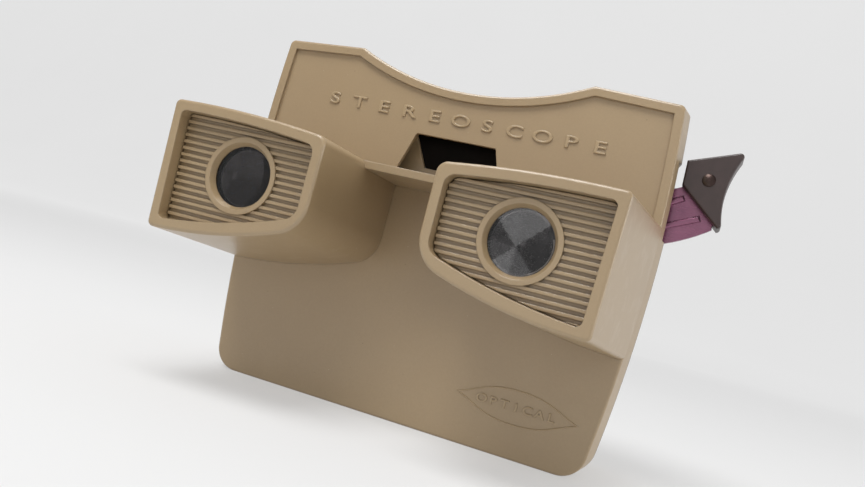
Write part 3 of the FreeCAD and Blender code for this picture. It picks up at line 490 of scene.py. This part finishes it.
def raised_letters(word, middle, gap, height, widen, rise):
    """Capitals in a row, gap apart, that stand out of an upright face around middle."""
    capital_share = 0.72
    edge_round = 0.07 * MM
    letters = []
    for index, letter in enumerate(word):
        alone()
        bpy.ops.object.text_add()
        text = bpy.context.object.data
        text.body = letter
        text.align_x = "CENTER"
        text.align_y = "CENTER"
        text.size = height / capital_share
        text.extrude = rise / 2
        text.bevel_depth = edge_round
        text.bevel_resolution = 2
        text.resolution_u = 6
        bpy.ops.object.convert(target="MESH")
        made = bpy.context.object
        made.location = (middle[0] + (index - (len(word) - 1) / 2) * gap,
                         middle[1] - rise / 2 + edge_round, middle[2])
        made.rotation_euler = UPRIGHT
        made.scale = (widen, 1.0, 1.0)
        bake_place()
        bpy.ops.object.shade_smooth_by_angle(angle=math.radians(35))
        letters.append(made)
    return letters


def joined(pieces):
    """Joins pieces into the first of them."""
    alone()
    for piece in pieces:
        piece.select_set(True)
    bpy.context.view_layer.objects.active = pieces[0]
    bpy.ops.object.join()
    return bpy.context.object


class VIEWER_OT_lettering(bpy.types.Operator):
    """Widely spaced raised capitals across the upper field"""

    bl_idname = "viewer.lettering"
    bl_label = "Lettering"

    def execute(self, context):
        sizes = context.scene.viewer_relief
        letters = raised_letters(
            sizes.word, (0.0, FIELD_Y, sizes.word_height),
            sizes.word_width / (len(sizes.word) - 1), sizes.letter_height, 1.55,
            sizes.letter_rise)
        settle(joined(letters), "field_lettering",
               moulded_polystyrene("moulded_polystyrene_letters", is_crest=True),
               "housing")
        return {"FINISHED"}


class VIEWER_OT_badge(bpy.types.Operator):
    """Raised almond line around a generic word, on the lower right of the face"""

    bl_idname = "viewer.badge"
    bl_label = "Badge"

    def almond(self, sizes, middle):
        """A round loop with its two side points drawn sharp, as a thin raised line."""
        alone()
        bpy.ops.curve.primitive_bezier_circle_add(radius=1.0)
        loop = bpy.context.object
        for point in loop.data.splines[0].bezier_points:
            if abs(point.co.x) > 0.5:
                point.handle_left_type = point.handle_right_type = "VECTOR"
        loop.scale = (sizes.badge_width / 2, sizes.badge_height / 2, 1.0)
        bake_place()
        loop.data.bevel_depth = sizes.line_width / 2
        loop.data.bevel_resolution = 3
        loop.data.resolution_u = 24
        bpy.ops.object.convert(target="MESH")
        loop = bpy.context.object
        loop.location = middle
        loop.rotation_euler = UPRIGHT
        bake_place()
        bpy.ops.object.shade_smooth()
        return loop

    def execute(self, context):
        sizes = context.scene.viewer_relief
        middle = (EYE_SIDE, PLATE_Y, sizes.badge_place)
        loop = self.almond(sizes, middle)
        letters = raised_letters(sizes.badge_word, middle, sizes.badge_gap,
                                 sizes.badge_letter_height, 1.3, sizes.badge_letter_rise)
        settle(joined([loop, *letters]), "face_badge",
               moulded_polystyrene("moulded_polystyrene_badge", is_crest=True),
               "housing")
        return {"FINISHED"}


class VIEWER_OT_grip_mark(bpy.types.Operator):
    """Small hooked ridge below the rivet on the grip's front face"""

    bl_idname = "viewer.grip_mark"
    bl_label = "Grip mark"

    def execute(self, context):
        rivet = sum(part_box("grip_rivet"), Vector()) / 2
        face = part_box("lever_grip_front")[0].y
        middle = Vector((rivet.x - 1.8 * MM, face + 0.15 * MM, rivet.z - 3.8 * MM))
        alone()
        bpy.ops.mesh.primitive_torus_add(
            major_radius=0.62 * MM, minor_radius=0.14 * MM, major_segments=48, minor_segments=12,
            rotation=UPRIGHT, location=middle)
        piece = bpy.context.object
        bake_place()
        bpy.ops.object.mode_set(mode="EDIT")
        bpy.ops.mesh.select_all(action="SELECT")
        bpy.ops.mesh.bisect(
            plane_co=middle + Vector((0.1 * MM, 0.0, -0.1 * MM)), plane_no=(0.6, 0.0, -0.8),
            use_fill=True, clear_outer=True)
        bpy.ops.object.mode_set(mode="OBJECT")
        bpy.ops.object.shade_smooth()
        settle(piece, "grip_ridge", NODES["lever_grip_front"].data.materials[0],
               "lever")
        return {"FINISHED"}


class VIEWER_OT_stage(bpy.types.Operator):
    """Pale paper sweep, soft studio light and the camera"""

    bl_idname = "viewer.stage"
    bl_label = "Stage"

    # each lamp's name, power setting, place, aim and width, in metres
    LAMPS = (
        ("softbox_overhead", "key", (-0.10, -0.26, 0.60), (0.0, -0.02, 0.05), 0.30),
        ("panel_front", "fill", (0.25, -0.95, 0.45), (0.0, 0.0, 0.05), 0.7),
        ("reflector_right", "reflector", (0.85, 0.05, 0.14), (0.03, 0.0, 0.05), 0.5),
        ("umbrella", "umbrella", (-0.165, -0.9, 0.105), (0.032, -0.055, 0.048), 0.16),
    )
    PAPER = (12.0, 5.0, 7.0)
    PAPER_FOLD = 1.2
    CAMERA_PLACE = (66.5 * MM, -207.2 * MM, 36.8 * MM)
    CAMERA_PAN = 18.16
    CAMERA_TILT = 92.73
    CAMERA_ROLL = 14.56

    def sweep(self, stage):
        """A sheet of paper that lies flat, then rises behind in one wide curve."""
        width, depth, height = self.PAPER
        alone()
        bpy.ops.mesh.primitive_plane_add(size=1.0, location=(0.0, 0.0, 0.0))
        floor = bpy.context.object
        floor.scale = (width, depth, 1.0)
        bake_place()
        bpy.ops.object.mode_set(mode="EDIT")
        bpy.ops.mesh.select_mode(type="EDGE")
        bpy.ops.mesh.select_all(action="DESELECT")
        bpy.ops.object.mode_set(mode="OBJECT")
        for edge in floor.data.edges:
            edge.select = all(floor.data.vertices[v].co.y > 0.4 * depth for v in edge.vertices)
        bpy.ops.object.mode_set(mode="EDIT")
        bpy.ops.mesh.extrude_region_move(TRANSFORM_OT_translate={"value": (0.0, 0.0, height)})
        bpy.ops.object.mode_set(mode="OBJECT")
        fold = floor.modifiers.new("fold", "BEVEL")
        fold.width = self.PAPER_FOLD
        fold.segments = 24
        bpy.ops.object.modifier_apply(modifier=fold.name)
        bpy.ops.object.shade_smooth()
        floor.name = "paper_sweep"
        made, tree, place = start("paper_sweep_matt")
        clouds = add(tree, "TexNoise", {"Vector": place, "Scale": 1 / (300 * MM)})
        far = add(tree, "VectorMath", (place,), "Value", operation="LENGTH")
        surface(tree, stage.floor, [
            (add(tree, "MapRange", (clouds, 0.3, 0.7, 0.0, 0.3)), stage.floor_shade),
        ], {
            "Roughness": 0.9, "IOR": 1.1, "Emission Color": linear("#FFFFFF"),
            "Emission Strength": add(tree, "MapRange", (
                far, 0.15, 1.6, stage.glow, stage.glow + 0.15))})
        floor.data.materials.append(made)

    def lamp(self, name, power, place, aim, width):
        """A soft square light that points from its place to its aim."""
        alone()
        bpy.ops.object.light_add(type="AREA", location=place)
        made = bpy.context.object
        made.name = name
        made.data.size = width
        made.data.energy = power
        made.rotation_euler = (Vector(aim) - Vector(place)).to_track_quat("-Z", "Y").to_euler()
        return made.data

    def rib(self, light):
        """Makes a light a round ribbed umbrella, whose panels catch more or less of its lamp."""
        lit = (0.25, 1.0, 0.55, 0.05, 0.05, 0.9, 1.0, 0.05)
        light.shape = "DISK"
        light.use_nodes = True
        tree = light.node_tree
        spot = add(tree, "NewGeometry", out="Parametric")
        centred = add(tree, "VectorMath", (spot, (0.5, 0.5, 0.0)), operation="SUBTRACT")
        turn = add(tree, "TexGradient", (centred,), "Fac", gradient_type="RADIAL")
        panels = add(tree, "ValToRGB", (turn,))
        stops = panels.node.color_ramp
        stops.interpolation = "CONSTANT"
        for index, level in enumerate(lit):
            stop = stops.elements[0] if index == 0 else stops.elements.new(index / len(lit))
            stop.color = (level, level, level, 1.0)
        stops.elements.remove(stops.elements[-1])
        tree.links.new(panels, tree.nodes["Emission"].inputs["Color"])

    def room(self, scene, stage):
        """White walls all round, brighter near the floor."""
        scene.world = bpy.data.worlds.new("white_room")
        scene.world.use_nodes = True
        tree = scene.world.node_tree
        way = add(tree, "TexCoord", out="Generated")
        height = add(tree, "SeparateXYZ", (way,), "Z")
        walls = tree.nodes["Background"].inputs
        walls["Color"].default_value = linear("#FFFFFF")
        tree.links.new(add(tree, "MapRange", (height, 0.05, 0.3, stage.skyline, stage.sky)),
                       walls["Strength"])

    def camera(self, scene, stage):
        """The camera, a little below the eyepieces' height and rolled to one side."""
        alone()
        bpy.ops.object.camera_add()
        made = bpy.context.object
        made.name = "camera"
        made.matrix_world = (
            Matrix.Translation(self.CAMERA_PLACE)
            @ Matrix.Rotation(math.radians(self.CAMERA_PAN), 4, "Z")
            @ Matrix.Rotation(math.radians(self.CAMERA_TILT), 4, "X")
            @ Matrix.Rotation(math.radians(self.CAMERA_ROLL), 4, "Z"))
        made.data.lens = stage.lens
        made.data.sensor_width = 36.0
        made.data.shift_x = -0.0116
        made.data.clip_start = 5 * MM
        made.data.clip_end = 20.0
        scene.camera = made
        scene.view_settings.view_transform = "Standard"

    def execute(self, context):
        scene, stage = context.scene, context.scene.viewer_stage
        self.sweep(stage)
        self.room(scene, stage)
        lights = [self.lamp(name, getattr(stage, setting), place, aim, width)
                  for name, setting, place, aim, width in self.LAMPS]
        self.rib(lights[-1])
        self.camera(scene, stage)
        return {"FINISHED"}


class VIEWER_PT_panel(bpy.types.Panel):
    """The viewer's finishes, details and studio"""

    bl_label = "Stereo viewer"
    bl_space_type = "VIEW_3D"
    bl_region_type = "UI"
    bl_category = "Stereo viewer"

    def draw(self, context):
        for title, settings in (("Finish", context.scene.viewer_finish),
                                ("Relief", context.scene.viewer_relief),
                                ("Stage", context.scene.viewer_stage)):
            box = self.layout.box()
            box.label(text=title)
            for name in settings.__annotations__:
                box.prop(settings, name)
        for operator in OPERATORS:
            self.layout.operator(operator.bl_idname)


OPERATORS = (VIEWER_OT_shells, VIEWER_OT_optics, VIEWER_OT_lever, VIEWER_OT_lettering,
             VIEWER_OT_badge, VIEWER_OT_grip_mark, VIEWER_OT_stage)
CLASSES = (ViewerFinish, ViewerRelief, ViewerStage, *OPERATORS, VIEWER_PT_panel)


def register():
    for made in CLASSES:
        bpy.utils.register_class(made)
    bpy.types.Scene.viewer_finish = bpy.props.PointerProperty(type=ViewerFinish)
    bpy.types.Scene.viewer_relief = bpy.props.PointerProperty(type=ViewerRelief)
    bpy.types.Scene.viewer_stage = bpy.props.PointerProperty(type=ViewerStage)


def unregister():
    del bpy.types.Scene.viewer_finish
    del bpy.types.Scene.viewer_relief
    del bpy.types.Scene.viewer_stage
    for made in reversed(CLASSES):
        bpy.utils.unregister_class(made)


def main():
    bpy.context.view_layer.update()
    register()
    bpy.ops.viewer.shells()
    bpy.ops.viewer.optics()
    bpy.ops.viewer.lever()
    bpy.ops.viewer.lettering()
    bpy.ops.viewer.badge()
    bpy.ops.viewer.grip_mark()
    bpy.ops.viewer.stage()


if __name__ == "__main__":
    main()
